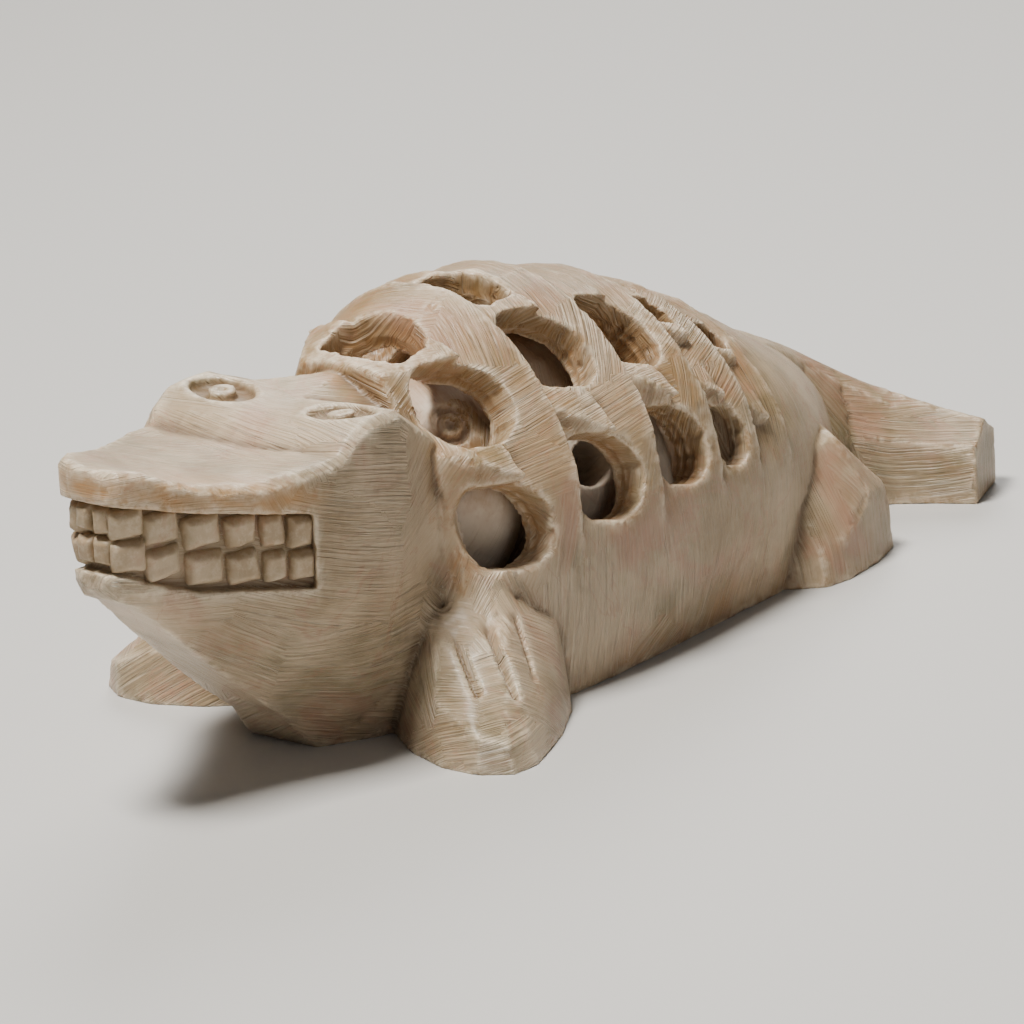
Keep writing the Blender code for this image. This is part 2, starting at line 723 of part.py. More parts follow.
def main():
    clear_scene()
    body = loft("crocodile", body_sections())
    both = ((1.0, "left"), (-1.0, "right"))

    solids = [head_solid(), tail_solid()]
    for side, tag in both:
        solids.append(foot("forefoot_" + tag, FORE_GROUND, FORE_UPPER, side))
        solids.append(foot("hindfoot_" + tag, HIND_GROUND, HIND_UPPER, side))
    combine(body, "solids", solids, "UNION")

    mouth = mouth_cutter()
    combine(mouth, "teeth_left_standing", [teeth_object()], "DIFFERENCE")
    hollow = hollow_cutter()
    combine(hollow, "openings", opening_cutters(), "UNION")
    combine(hollow, "animal_left_standing", [small_animal(both)], "DIFFERENCE")
    cuts = [ground_cutter(), mouth, hollow]
    for side, tag in both:
        for k, (start, stop) in enumerate(TOE_GROOVES):
            cuts.append(groove("toe_%s_%d" % (tag, k + 1), start, stop, side))
        cuts.append(eye_cutter("eye_" + tag, EYE_HALF, *head_eye(side)))
    combine(body, "cuts", cuts, "DIFFERENCE")

    body.data.materials.append(stone_material())


main()
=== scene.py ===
# %% [markdown]
# # A crocodile carved from one block of soapstone
# The real carving is a hand-sized figure of soft, waxed stone. Its back is a hollow shell of
# overlapping scales, pierced by round openings, and a small animal is left standing inside.
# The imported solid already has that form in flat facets. This lesson turns it into worked stone:
# rounded edges, file marks, chips and the mottled colours of the block.

# %% Load the solid
import math

import bmesh
import bpy
import numpy as np
from mathutils import Matrix, Vector, noise
from mathutils.kdtree import KDTree


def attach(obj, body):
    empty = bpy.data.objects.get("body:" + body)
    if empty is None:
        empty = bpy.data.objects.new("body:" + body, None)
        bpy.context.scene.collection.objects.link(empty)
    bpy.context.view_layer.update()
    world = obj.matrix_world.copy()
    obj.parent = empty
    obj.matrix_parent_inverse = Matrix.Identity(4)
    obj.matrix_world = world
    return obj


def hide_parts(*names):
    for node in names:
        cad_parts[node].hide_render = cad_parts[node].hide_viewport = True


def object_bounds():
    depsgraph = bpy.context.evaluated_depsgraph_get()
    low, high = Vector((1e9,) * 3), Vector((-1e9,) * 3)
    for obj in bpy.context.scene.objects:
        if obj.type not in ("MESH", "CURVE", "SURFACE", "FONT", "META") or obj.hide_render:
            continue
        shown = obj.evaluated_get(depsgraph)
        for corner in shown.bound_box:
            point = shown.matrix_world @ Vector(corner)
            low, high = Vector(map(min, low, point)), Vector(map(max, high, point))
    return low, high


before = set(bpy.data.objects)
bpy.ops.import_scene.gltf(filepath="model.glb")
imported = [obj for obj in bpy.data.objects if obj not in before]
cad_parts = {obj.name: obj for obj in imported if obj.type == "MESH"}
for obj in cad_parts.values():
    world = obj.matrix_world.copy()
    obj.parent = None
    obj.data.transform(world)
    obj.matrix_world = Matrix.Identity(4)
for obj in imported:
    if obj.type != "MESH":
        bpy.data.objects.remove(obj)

cad_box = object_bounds()
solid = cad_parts["crocodile"]
MM = 0.001
Y_SHIFT = -44.07
print("solid:", len(solid.data.polygons), "triangles, box", cad_box)

# %% [markdown]
# The camera comes first. The picture was
# taken from low down, in front of the animal's left shoulder, with a long lens, so the far end
# of the tail hardly shrinks. A long focal length at a distance of two thirds of a metre gives
# the same flat perspective.

# %% Camera
camera_data = bpy.data.cameras.new("camera")
camera_data.lens = 189.84375
camera_data.sensor_width = 36.0
camera_data.clip_start = 0.01
camera = bpy.data.objects.new("camera", camera_data)
camera.location = (0.40678, -0.50779, 0.226)
camera.rotation_euler = (1.25696, 0.0595, 0.65633)
bpy.context.scene.collection.objects.link(camera)
bpy.context.scene.camera = camera
print("camera at", tuple(round(v, 3) for v in camera.location))


# %% [markdown]
# The facets of the solid are joined into one skin before anything else. The solid's triangles
# are loose, so the copy is merged by distance. The original stays as it is.

# %% A copy of the solid to work on
def merged_copy(source, name):
    mesh = source.data.copy()
    mesh.name = name
    mesh.materials.clear()
    work = bmesh.new()
    work.from_mesh(mesh)
    bmesh.ops.remove_doubles(work, verts=work.verts, dist=0.000001)
    work.to_mesh(mesh)
    work.free()
    piece = bpy.data.objects.new(name, mesh)
    bpy.context.scene.collection.objects.link(piece)
    return piece


carving = merged_copy(solid, "carving")
print("carving starts with", len(carving.data.vertices), "points")


# %% Baking modifiers into the mesh
def bake_modifiers(piece):
    """Replace a piece's mesh by what its modifiers make, and remove the modifiers."""
    bpy.context.view_layer.update()
    graph = bpy.context.evaluated_depsgraph_get()
    mesh = bpy.data.meshes.new_from_object(piece.evaluated_get(graph))
    piece.modifiers.clear()
    piece.data = mesh
    return mesh


# %% [markdown]
# The teeth are the finest carving on the figure, finer than the skin that is rebuilt below, so
# they are cut again with more care. First the whole mouth is cleared back to the bottom of its
# band, as a carver clears the ground before leaving teeth standing. The lip line is a short
# table: distance from the middle of the head, place along it, height of the lip and of the jaw.

# %% The line of the mouth
LIP_LINE = (
    (0.0, -34.3, 39.0, 31.4), (2.4, -34.0, 39.0, 31.4), (4.4, -33.0, 38.9, 31.0), (5.8, -30.6, 38.2, 29.8),
    (7.8, -24.0, 36.0, 27.0), (11.4, -17.0, 34.4, 25.8), (14.6, -11.4, 33.3, 24.7),
)
BAND_DEPTH = 1.7


def lip_at(distance):
    """Place, lip height and jaw height at a distance along the lip line."""
    left = abs(distance)
    side = -1.0 if distance < 0.0 else 1.0
    for k in range(len(LIP_LINE) - 1):
        a, b = LIP_LINE[k], LIP_LINE[k + 1]
        run = math.hypot(b[0] - a[0], b[1] - a[1])
        if left <= run or k == len(LIP_LINE) - 2:
            share = left / run
            x, y, lip, jaw = (p + (q - p) * share for p, q in zip(a, b))
            return Vector((x * side, y, 0.0)), lip, jaw
        left -= run


def lip_direction(distance, reach=1.6):
    ahead, behind = lip_at(distance + reach)[0], lip_at(distance - reach)[0]
    run = (ahead - behind).normalized()
    return run, Vector((run.y, -run.x, 0.0))


def in_metres(point):
    return Vector((point[0] * MM, (point[1] + Y_SHIFT) * MM, point[2] * MM))


lip_length = sum(math.hypot(b[0] - a[0], b[1] - a[1]) for a, b in zip(LIP_LINE, LIP_LINE[1:]))
print("lip line is", round(lip_length, 1), "mm long on each side")


# %% Clear the band of the mouth
def lofted(name, sections):
    """Closed solid through sections that have the same number of points."""
    size = len(sections[0])
    faces = []
    for k in range(len(sections) - 1):
        for j in range(size):
            a, b = k * size + j, k * size + (j + 1) % size
            faces.append((a, b, b + size, a + size))
    faces.append(tuple(range(size)))
    faces.append(tuple((len(sections) - 1) * size + j for j in range(size)))
    mesh = bpy.data.meshes.new(name)
    mesh.from_pydata([in_metres(p) for section in sections for p in section], [], faces)
    work = bmesh.new()
    work.from_mesh(mesh)
    bmesh.ops.recalc_face_normals(work, faces=work.faces)
    work.to_mesh(mesh)
    work.free()
    return bpy.data.objects.new(name, mesh)


def band_sections():
    """One section at each point of the lip line, so that the band turns at the same places."""
    rows = [(-x, y, lip, jaw) for x, y, lip, jaw in reversed(LIP_LINE[1:])] + list(LIP_LINE)
    sections = []
    for k, (x, y, lip, jaw) in enumerate(rows):
        before, after = rows[max(0, k - 1)], rows[min(len(rows) - 1, k + 1)]
        run = Vector((after[0] - before[0], after[1] - before[1], 0.0)).normalized()
        out = Vector((run.y, -run.x, 0.0))
        place = Vector((x, y, 0.0))
        if k in (0, len(rows) - 1):
            place += run * (0.1 if k else -0.1)
        inner = place - out * (BAND_DEPTH + 0.1)
        outer = place + out * 3.0
        sections.append([(inner.x, inner.y, jaw - 0.6), (outer.x, outer.y, jaw - 0.9),
                         (outer.x, outer.y, lip + 0.35), (inner.x, inner.y, lip + 0.05)])
    return sections


band = lofted("mouth_band", band_sections())
bpy.context.scene.collection.objects.link(band)
clear = carving.modifiers.new("clear_mouth", "BOOLEAN")
clear.operation = "DIFFERENCE"
clear.solver = "EXACT"
clear.object = band
bake_modifiers(carving)
bpy.data.objects.remove(band)
print("mouth cleared,", len(carving.data.vertices), "points left")


# %% [markdown]
# A carver's edge is never as sharp as a Boolean's. Rebuilding the surface as small even
# squares, under a third of a millimetre wide, gives points everywhere, so edges can be worn and marks
# cut. First the sharp edges of the solid are remembered: they say where the real stone keeps
# an arris, and everything away from them may be smoothed hard until the facets are gone.

# %% Remember the sharp edges
SHARP_ANGLE = math.radians(22.0)
SCALE_EDGE_ANGLE = math.radians(14.0)
SCALES_BEHIND_Y, SCALES_ABOVE_Z = 14.0, 20.0
SAMPLE_STEP = 0.4 * MM


def edge_samples(mesh):
    """Points along the sharp edges. On the scaled back a lower angle counts as sharp."""
    work = bmesh.new()
    work.from_mesh(mesh)
    points = []
    for edge in work.edges:
        a, b = edge.verts[0].co, edge.verts[1].co
        on_scales = a.z > SCALES_ABOVE_Z * MM and a.y > (SCALES_BEHIND_Y + Y_SHIFT) * MM
        least = SCALE_EDGE_ANGLE if on_scales else SHARP_ANGLE
        if len(edge.link_faces) == 2 and edge.calc_face_angle(0.0) > least:
            count = max(2, int((b - a).length / SAMPLE_STEP) + 1)
            points += [a.lerp(b, k / (count - 1)) for k in range(count)]
    work.free()
    return points


def tree_of(points):
    tree = KDTree(len(points))
    for k, point in enumerate(points):
        tree.insert(point, k)
    tree.balance()
    return tree


sharp_tree = tree_of(edge_samples(carving.data))
print("sharp edges remembered")

# %% Rebuild the skin
VOXEL = 0.30 * MM
remesh = carving.modifiers.new("even_skin", "REMESH")
remesh.mode = "VOXEL"
remesh.voxel_size = VOXEL
remesh.adaptivity = 0.0
bake_modifiers(carving)
print("even skin:", len(carving.data.vertices), "points")


# %% [markdown]
# Smoothing by hand with arrays is quick and keeps control: each point moves towards the mean
# of its neighbours, by a share that grows with its distance from a remembered edge. Where the
# cheek runs into the chest the real stone has no edge at all, so a small box there is smoothed
# many times more.

# %% Smooth away the facets
SMOOTH_TURNS, SMOOTH_SHARE = 80, 0.6
LAST_SHARE = 0.35
FREE_FROM, FREE_TO = 0.45 * MM, 2.2 * MM
NECK = (17.0, 9.0, 21.0)
NECK_REACH = (6.0, 8.0, 9.0)
NECK_TURNS = 260


def coordinates(mesh):
    co = np.empty(len(mesh.vertices) * 3)
    mesh.vertices.foreach_get("co", co)
    return co.reshape(-1, 3)


def edge_pairs(mesh):
    pairs = np.empty(len(mesh.edges) * 2, dtype=np.int64)
    mesh.edges.foreach_get("vertices", pairs)
    return pairs.reshape(-1, 2)


def neighbour_mean(values, pairs, count):
    """Mean of each point's neighbours, for a list of numbers or of vectors."""
    size = len(values)
    columns = values.reshape(size, -1)
    total = np.empty_like(columns)
    for k in range(columns.shape[1]):
        total[:, k] = np.bincount(pairs[:, 0], weights=columns[pairs[:, 1], k], minlength=size)
        total[:, k] += np.bincount(pairs[:, 1], weights=columns[pairs[:, 0], k], minlength=size)
    return (total / count[:, None]).reshape(values.shape)


def soft_step(low, high, value):
    t = np.clip((value - low) / (high - low), 0.0, 1.0)
    return t * t * (3.0 - 2.0 * t)


def drawn(points):
    """Points in the millimetres of the tables, with the sides of the animal folded together."""
    out = points / MM - (0.0, Y_SHIFT, 0.0)
    out[:, 0] = np.abs(out[:, 0])
    return out


co = coordinates(carving.data)
pairs = edge_pairs(carving.data)
count = np.maximum(np.bincount(pairs.ravel(), minlength=len(co)), 1).astype(float)
edge_distance = np.array([sharp_tree.find(point)[2] for point in co])
freedom = soft_step(FREE_FROM, FREE_TO, edge_distance)
in_neck = np.prod(1.0 - soft_step(0.6, 1.0, np.abs(drawn(co) - NECK) / NECK_REACH), axis=1)
freedom = np.maximum(freedom, in_neck)[:, None]
for turn in range(SMOOTH_TURNS):
    co += (neighbour_mean(co, pairs, count) - co) * SMOOTH_SHARE * freedom
near_pairs = pairs[(in_neck[pairs] > 0.0).any(axis=1)]
near = np.unique(near_pairs)
near_pairs = np.searchsorted(near, near_pairs)
near_count = np.bincount(near_pairs.ravel(), minlength=len(near)).astype(float)
for turn in range(NECK_TURNS):
    part = co[near]
    co[near] += (neighbour_mean(part, near_pairs, near_count) - part) * SMOOTH_SHARE * in_neck[near][:, None]
co += (neighbour_mean(co, pairs, count) - co) * LAST_SHARE
print("smoothed", len(co), "points,", int((in_neck > 0.5).sum()), "of them where the cheek meets the chest")


# %% [markdown]
# The shell and what lies under it are told apart by their depth below the plain back of the
# animal. The same table of half widths and heights along the back that shaped the solid gives
# that depth for any point. It steers where openings get rough walls, where the stone is bare and
# painted paler, and where it is darkened with painted shade.

# %% Depth below the back
BACK = np.array((
    (6.0, 17.6, 43.0), (12.5, 18.8, 43.9), (22.0, 21.5, 46.9), (32.0, 23.5, 48.7), (45.0, 24.5, 47.3),
    (58.0, 24.2, 43.5), (73.0, 23.2, 37.0), (84.0, 20.5, 30.9), (92.0, 16.5, 26.4), (98.0, 12.0, 22.8),
))
WIDEST_Z = 12.0
SHELL_FROM_Y, SHELL_TO_Y = 12.0, 76.0


def depth_below_back(points):
    """Depth in millimetres under the plain back, and 0 outside the shell's reach."""
    x, y, z = drawn(points).T
    wide = np.interp(y, BACK[:, 0], BACK[:, 1])
    high = np.interp(y, BACK[:, 0], BACK[:, 2]) - WIDEST_Z
    up = np.maximum(z - WIDEST_Z, 0.0)
    reach = np.sqrt((x / wide) ** 2 + (up / high) ** 2)
    depth = (1.0 - reach) * np.minimum(wide, high)
    return np.where((y > SHELL_FROM_Y) & (y < SHELL_TO_Y), depth, 0.0)


depth = depth_below_back(co)
print("deepest point under the back:", round(float(depth.max()), 1), "mm")


# %% [markdown]
# Nothing cut by hand is quite even. A slow wave a few millimetres long, with a height of a
# tenth of a millimetre, breaks the highlights. Along the rims of the openings and the edges of
# the scales the soft stone has crumbled in small bites. In the walls of the openings the round
# file has left ribs that run round the hole. The almond troughs round the eyes on the brow are
# cut a little deeper, with a thin lid left round them, because they are seen at a low angle.

# %% Unevenness of the hand
BROW_EYE = (9.2, 1.2)
BROW_EYE_HALF = (5.2, 3.3)
BROW_ABOVE_Z = 38.0
HEAD_BEFORE_Y = 8.0
TROUGH_DEPTH, LID_HEIGHT = 0.55, 0.12
SLOW_WAVE, QUICK_WAVE = (130.0, 0.16), (380.0, 0.07)
BITES, NICKS = (430.0, 0.14, 0.42), (1100.0, 0.16, 0.34)
CHIPS_ON_HEAD = 0.6
RIB_BEND, RIBS_PER_MM, RIB_HEIGHT = 5.0, 5.2, 0.09
UNTOUCHED_BASE = 0.25 * MM


def vertex_normals(mesh):
    out = np.empty(len(mesh.vertices) * 3)
    mesh.vertices.foreach_get("normal", out)
    return out.reshape(-1, 3)


carving.data.vertices.foreach_set("co", co.ravel())
carving.data.update()
normals = vertex_normals(carving.data)
on_edge = 1.0 - soft_step(0.2 * MM, 0.8 * MM, edge_distance)
in_wall = soft_step(0.8, 1.8, depth) * (1.0 - soft_step(5.0, 6.5, depth))
in_mm = drawn(co)
chip_share = np.where(in_mm[:, 1] < HEAD_BEFORE_Y, CHIPS_ON_HEAD, 1.0) * on_edge
from_eye = in_mm[:, :2] - BROW_EYE
almond = np.hypot(*(from_eye / BROW_EYE_HALF).T)
on_brow = in_mm[:, 2] > BROW_ABOVE_Z
trough = (1.0 - soft_step(0.72, 0.96, almond)) * soft_step(1.55, 2.0, np.hypot(*from_eye.T)) * on_brow
lid = soft_step(0.94, 1.04, almond) * (1.0 - soft_step(1.08, 1.3, almond)) * on_brow
no_chips = (almond < 1.6) & on_brow | (depth > 5.0)


def noise_at(point, scale, shift=(0.0, 0.0, 0.0)):
    return noise.noise(point * scale + Vector(shift))


height = np.zeros(len(co))
for k, point in enumerate(co):
    p = Vector(point)
    slow = noise_at(p, SLOW_WAVE[0]) * SLOW_WAVE[1]
    slow += noise_at(p, QUICK_WAVE[0], (3.0, 1.0, 7.0)) * QUICK_WAVE[1]
    chips = 0.0
    if on_edge[k] > 0.05 and not no_chips[k]:
        bite = max(0.0, noise_at(p, BITES[0], (9.0, 2.0, 4.0)) - BITES[1]) * BITES[2]
        nick = max(0.0, noise_at(p, NICKS[0], (2.0, 8.0, 1.0)) - NICKS[1]) * NICKS[2]
        chips = -(bite + nick) * chip_share[k]
    ribs = 0.0
    if in_wall[k] > 0.05:
        bend = noise_at(p, 90.0) * RIB_BEND
        ribs = math.sin(depth[k] * RIBS_PER_MM + bend) * RIB_HEIGHT * in_wall[k]
    height[k] = slow + chips + ribs - TROUGH_DEPTH * trough[k] + LID_HEIGHT * lid[k]
height[np.abs(co[:, 2]) < UNTOUCHED_BASE] = 0.0
co += normals * (height * MM)[:, None]
print("unevenness from", round(height.min(), 2), "to", round(height.max(), 2), "mm")

# %% [markdown]
# Four numbers are kept at every point for the materials to read. *Wear* is high where the
# surface bulges, as on arrises that hands have rubbed light. *Hollow* is high in creases and
# under the shell, and darkens them there as painted shade. *Ochre* marks the weathered rims of
# the snout and of the scales, and *wall* the cut through the thickness of the shell, where the stone is warmer.

# %% Numbers for the materials
SMALL_TURNS, WIDE_TURNS = 8, 60
SNOUT_RIM_ABOVE_LIP = 1.6


def keep_number(mesh, name, values):
    layer = mesh.attributes.new(name, "FLOAT", "POINT")
    layer.data.foreach_set("value", np.asarray(values, dtype=np.float32))


def bulge(co, normals, passes):
    """How far each point stands out of its wider surroundings, in millimetres."""
    mean = co.copy()
    for turn in range(passes):
        mean = neighbour_mean(mean, pairs, count)
    return np.einsum("ij,ij->i", co - mean, normals) / MM


carving.data.vertices.foreach_set("co", co.ravel())
carving.data.update()
normals = vertex_normals(carving.data)
small = bulge(co, normals, SMALL_TURNS)
wide_bulge = bulge(co, normals, WIDE_TURNS)
wear = soft_step(0.02, 0.10, small) * 0.7 + soft_step(0.1, 0.6, wide_bulge) * 0.5
depth = depth_below_back(co)
# Hollow darkens creases and the stone deep under the shell in the materials: painted shade.
hollow = np.maximum(soft_step(5.0, 12.0, depth) * 0.45, soft_step(0.04, 0.36, -wide_bulge))
wall = soft_step(0.5, 1.6, depth) * (1.0 - soft_step(4.6, 6.5, depth))
y_drawn, z_drawn = drawn(co).T[1:]
lip_height = np.interp(y_drawn, [row[1] for row in LIP_LINE], [row[2] for row in LIP_LINE])
from_rim = np.abs(z_drawn - lip_height - SNOUT_RIM_ABOVE_LIP)
ochre = (1.0 - soft_step(1.4, 3.0, from_rim)) * (1.0 - soft_step(-14.0, -8.0, y_drawn))
behind_head, on_shell = y_drawn > 10.0, (y_drawn > 10.0) & (y_drawn < 75.0)
ochre = np.maximum(ochre, 0.55 * soft_step(0.12, 0.55, wide_bulge) * behind_head)
ochre = np.maximum(ochre, 0.32 * soft_step(22.0, 30.0, z_drawn) * on_shell)
keep_number(carving.data, "wear", np.clip(wear, 0.0, 1.0))
keep_number(carving.data, "hollow", hollow)
keep_number(carving.data, "ochre", ochre)
keep_number(carving.data, "wall", wall)
print("mean wear", round(float(wear.mean()), 3), "mean hollow", round(float(hollow.mean()), 3))

# %% [markdown]
# Clearing the mouth can leave a crumb of stone that hangs on to nothing. A real one would have
# fallen off, so only the largest connected part of the mesh is kept.

# %% Drop loose crumbs
def keep_largest_part(mesh):
    work = bmesh.new()
    work.from_mesh(mesh)
    left, parts = set(work.verts), []
    while left:
        reached = [left.pop()]
        for vert in reached:
            for edge in vert.link_edges:
                other = edge.other_vert(vert)
                if other in left:
                    left.discard(other)
                    reached.append(other)
        parts.append(reached)
    parts.sort(key=len, reverse=True)
    crumbs = [vert for part in parts[1:] for vert in part]
    bmesh.ops.delete(work, geom=crumbs, context="VERTS")
    work.to_mesh(mesh)
    work.free()
    return len(parts) - 1, len(crumbs)


# %% Thin the mesh
BUDGET = 172000
carving.data.calc_loop_triangles()
triangles = len(carving.data.loop_triangles)
if triangles > BUDGET:
    thin = carving.modifiers.new("thin", "DECIMATE")
    thin.ratio = BUDGET / triangles
    bake_modifiers(carving)
crumbs, crumb_points = keep_largest_part(carving.data)
within = np.clip(coordinates(carving.data), np.array(cad_box[0]), np.array(cad_box[1]))
carving.data.vertices.foreach_set("co", within.ravel())
carving.data.update()
carving.data.calc_loop_triangles()
print("carving:", triangles, "thinned to", len(carving.data.loop_triangles), "triangles,",
      crumbs, "crumbs of", crumb_points, "points dropped")

# %% [markdown]
# The teeth stand in two rows round the snout, seven on each side in each row. On the real
# figure each is a small block with its front edges pared away, and no two are quite alike.
# Something that repeats along a path suits Geometry Nodes: a point for each tooth carries its
# size and its turn, one rounded block is put on every point, and noise makes them differ.

# %% Points for the teeth
TOOTH_WIDTHS = (2.9, 4.6, 5.2, 5.2, 4.4, 3.3, 3.5)
TOOTH_GAP = 0.36
TOOTH_ROWS = ((0.02, 0.47), (0.52, 0.98))
TOOTH_DEPTH = 2.6
TOOTH_FRONT = 0.35
TOOTH_LEAN = -0.10
TOOTH_ROLL, TOOTH_TIP, TOOTH_NOD = 4.0, 9.0, 7.0
chance = np.random.default_rng(12)


def tooth_points():
    places, sizes, turns = [], [], []
    for side in (1.0, -1.0):
        start = TOOTH_GAP * 0.5
        for width in TOOTH_WIDTHS:
            middle = start + (width - TOOTH_GAP) * 0.5
            start += width
            for low, high in TOOTH_ROWS:
                place, lip, jaw = lip_at(middle * side)
                run, out = lip_direction(middle * side)
                out.z = TOOTH_LEAN
                out.normalize()
                up = out.cross(run).normalized()
                front = TOOTH_FRONT + chance.uniform(0.0, 0.25)
                place = place - out * (front + TOOTH_DEPTH * 0.5)
                place.z = jaw + (lip - jaw) * (low + high) * 0.5 + chance.uniform(-0.12, 0.12)
                roll, tip, nod = (
                    Matrix.Rotation(math.radians(chance.uniform(-most, most)), 3, axis)
                    for most, axis in ((TOOTH_ROLL, out), (TOOTH_TIP, up), (TOOTH_NOD, run)))
                axes = Matrix((run, up, out)).transposed()
                places.append(in_metres(place))
                turns.append((roll @ tip @ nod @ axes).to_euler())
                tall = (lip - jaw) * (high - low) * chance.uniform(0.95, 1.04)
                sizes.append(((width - TOOTH_GAP) * MM, tall * MM, TOOTH_DEPTH * MM))
    return places, sizes, turns


places, sizes, turns = tooth_points()
tooth_mesh = bpy.data.meshes.new("teeth")
tooth_mesh.from_pydata(places, [], [])
for name, values in (("tooth_size", sizes), ("tooth_turn", turns)):
    layer = tooth_mesh.attributes.new(name, "FLOAT_VECTOR", "POINT")
    layer.data.foreach_set("vector", [n for value in values for n in value])
teeth = bpy.data.objects.new("teeth", tooth_mesh)
bpy.context.scene.collection.objects.link(teeth)
print(len(places), "teeth")


# %% Helpers for node trees
def add_node(tree, kind, place=(0, 0), **settings):
    node = tree.nodes.new(kind)
    node.location = place
    for key, value in settings.items():
        setattr(node, key, value)
    return node


def vector_math(tree, operation, a, b=None, c=None):
    node = add_node(tree, "ShaderNodeVectorMath", operation=operation)
    for k, value in enumerate((a, b, c)):
        if value is None:
            continue
        if isinstance(value, bpy.types.NodeSocket):
            tree.links.new(value, node.inputs[k])
        else:
            node.inputs[k].default_value = value
    return node.outputs["Value"] if operation == "LENGTH" else node.outputs["Vector"]


def plain_math(tree, operation, a, b=None):
    node = add_node(tree, "ShaderNodeMath", operation=operation)
    for k, value in enumerate((a, b)):
        if value is None:
            continue
        if isinstance(value, bpy.types.NodeSocket):
            tree.links.new(value, node.inputs[k])
        else:
            node.inputs[k].default_value = value
    return node.outputs["Value"]


def add_input(tree, name, kind, value=None):
    socket = tree.interface.new_socket(name, in_out="INPUT", socket_type=kind)
    if value is not None:
        socket.default_value = value
    return socket


# %% The tree that carves the teeth
def tooth_tree():
    tree = bpy.data.node_groups.new("carved_teeth", "GeometryNodeTree")
    tree.interface.new_socket("Geometry", in_out="OUTPUT", socket_type="NodeSocketGeometry")
    add_input(tree, "Geometry", "NodeSocketGeometry")
    add_input(tree, "Rounding", "NodeSocketFloat", 0.11)
    add_input(tree, "Taper", "NodeSocketFloat", 0.06)
    add_input(tree, "Bevel", "NodeSocketFloat", 0.26)
    add_input(tree, "Unevenness", "NodeSocketFloat", 0.0006)
    add_input(tree, "Seed", "NodeSocketFloat", 3.0)
    add_input(tree, "Stone", "NodeSocketMaterial")
    source = add_node(tree, "NodeGroupInput", (-900, 0))
    sink = add_node(tree, "NodeGroupOutput", (1200, 0))

    block = add_node(tree, "GeometryNodeMeshCube", (-700, -200))
    for axis in ("Vertices X", "Vertices Y", "Vertices Z"):
        block.inputs[axis].default_value = 8
    at = add_node(tree, "GeometryNodeInputPosition", (-900, -400)).outputs[0]
    inset = plain_math(tree, "SUBTRACT", 0.5, source.outputs["Rounding"])
    core = vector_math(tree, "MINIMUM", at, inset)
    core = vector_math(tree, "MAXIMUM", core, plain_math(tree, "MULTIPLY", inset, -1.0))
    corner = vector_math(tree, "NORMALIZE", vector_math(tree, "SUBTRACT", at, core))
    scale = add_node(tree, "ShaderNodeVectorMath", operation="SCALE")
    tree.links.new(corner, scale.inputs[0])
    tree.links.new(source.outputs["Rounding"], scale.inputs["Scale"])
    rounded = vector_math(tree, "ADD", core, scale.outputs["Vector"])
    parts = add_node(tree, "ShaderNodeSeparateXYZ")
    tree.links.new(rounded, parts.inputs[0])
    forward = plain_math(tree, "ADD", parts.outputs["Z"], 0.5)
    narrow = plain_math(tree, "SUBTRACT", 1.0, plain_math(tree, "MULTIPLY", forward, source.outputs["Taper"]))
    tip = plain_math(tree, "MAXIMUM", plain_math(tree, "SUBTRACT", forward, 0.68), 0.0)
    pared = plain_math(tree, "MULTIPLY", plain_math(tree, "DIVIDE", tip, 0.32), source.outputs["Bevel"])
    narrow = plain_math(tree, "SUBTRACT", narrow, pared)
    shaped = add_node(tree, "ShaderNodeCombineXYZ")
    tree.links.new(plain_math(tree, "MULTIPLY", parts.outputs["X"], narrow), shaped.inputs["X"])
    tree.links.new(plain_math(tree, "MULTIPLY", parts.outputs["Y"], narrow), shaped.inputs["Y"])
    tree.links.new(parts.outputs["Z"], shaped.inputs["Z"])
    shape = add_node(tree, "GeometryNodeSetPosition", (-300, -200))
    tree.links.new(block.outputs["Mesh"], shape.inputs["Geometry"])
    tree.links.new(shaped.outputs[0], shape.inputs["Position"])

    size = add_node(tree, "GeometryNodeInputNamedAttribute", (-300, 300), data_type="FLOAT_VECTOR")
    size.inputs["Name"].default_value = "tooth_size"
    turn = add_node(tree, "GeometryNodeInputNamedAttribute", (-300, 150), data_type="FLOAT_VECTOR")
    turn.inputs["Name"].default_value = "tooth_turn"
    put = add_node(tree, "GeometryNodeInstanceOnPoints", (0, 0))
    tree.links.new(source.outputs["Geometry"], put.inputs["Points"])
    tree.links.new(shape.outputs["Geometry"], put.inputs["Instance"])
    tree.links.new(turn.outputs["Attribute"], put.inputs["Rotation"])
    tree.links.new(size.outputs["Attribute"], put.inputs["Scale"])
    real = add_node(tree, "GeometryNodeRealizeInstances", (250, 0))
    tree.links.new(put.outputs["Instances"], real.inputs["Geometry"])

    wave = add_node(tree, "ShaderNodeTexNoise", (250, -300), noise_dimensions="4D")
    wave.inputs["Scale"].default_value = 420.0
    tree.links.new(at, wave.inputs["Vector"])
    tree.links.new(source.outputs["Seed"], wave.inputs["W"])
    push = vector_math(tree, "SUBTRACT", wave.outputs["Color"], (0.5, 0.5, 0.5))
    strength = add_node(tree, "ShaderNodeVectorMath", operation="SCALE")
    tree.links.new(push, strength.inputs[0])
    tree.links.new(source.outputs["Unevenness"], strength.inputs["Scale"])
    uneven = add_node(tree, "GeometryNodeSetPosition", (600, 0))
    tree.links.new(real.outputs["Geometry"], uneven.inputs["Geometry"])
    tree.links.new(strength.outputs["Vector"], uneven.inputs["Offset"])
    finish = add_node(tree, "GeometryNodeSetMaterial", (850, 0))
    tree.links.new(uneven.outputs["Geometry"], finish.inputs["Geometry"])
    tree.links.new(source.outputs["Stone"], finish.inputs["Material"])
    tree.links.new(finish.outputs["Geometry"], sink.inputs["Geometry"])
    return tree


